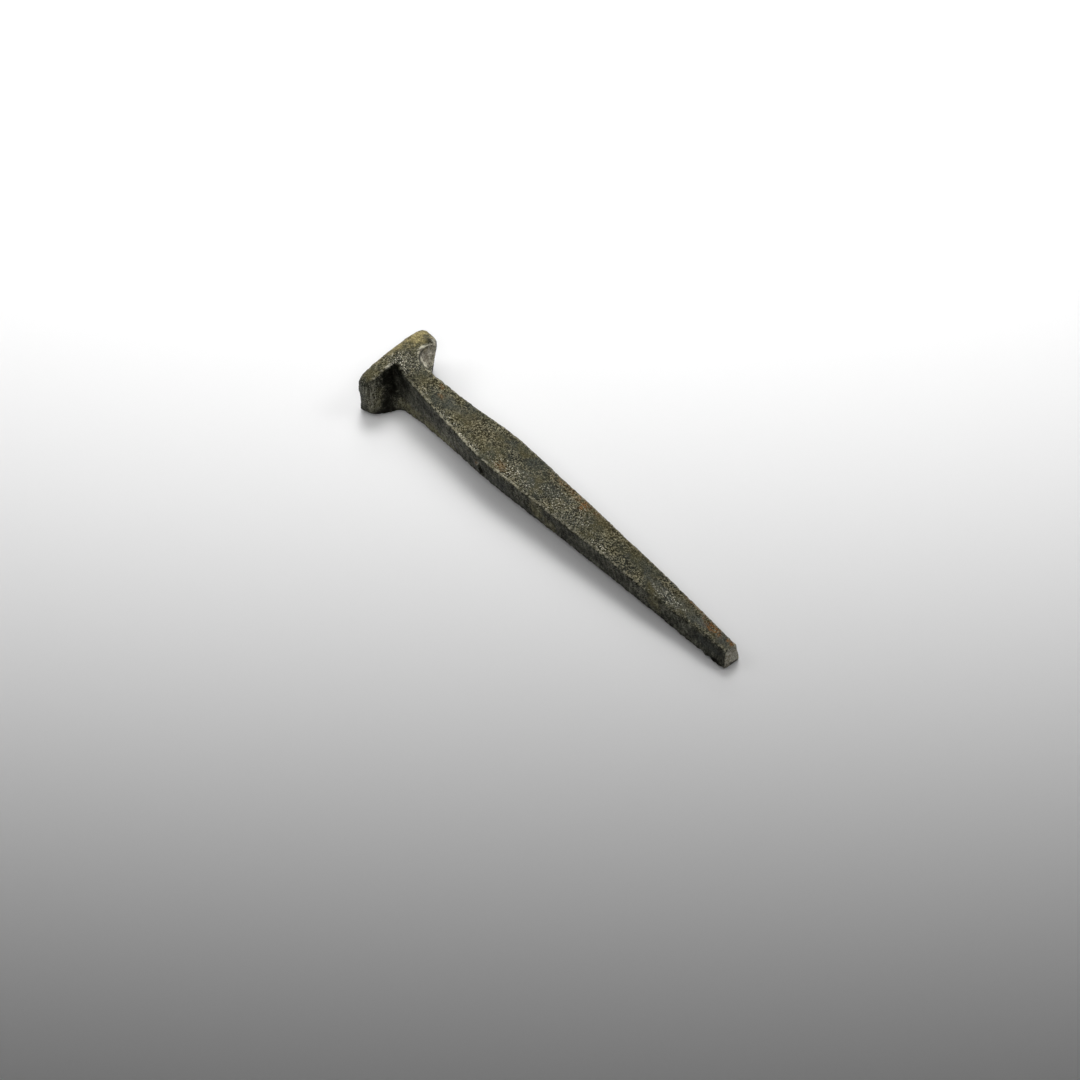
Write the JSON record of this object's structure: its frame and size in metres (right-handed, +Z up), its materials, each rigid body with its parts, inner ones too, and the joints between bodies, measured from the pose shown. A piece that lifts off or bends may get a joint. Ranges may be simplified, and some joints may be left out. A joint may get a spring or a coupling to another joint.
{
  "type": "rail spike",
  "caption": "Forged rail spike with an uneven T head, a deep narrow throat, a swelling shank and a sheared flat point, driven into a wooden tie to hold the foot of a rail.",
  "frame": {"origin": "middle of the footprint, on the surface that the spike lies on", "axes": "+X from the struck face to the point, +Y across the head towards its thicker lobe, +Z up from the surface"},
  "size_m": [0.15, 0.0288, 0.0189],
  "materials": {
    "forged_iron": "dark forge scale with fine rust pits"
  },
  "bodies": {
    "root": {"forged_spike": "forged_iron"}
  },
  "joints": []
}
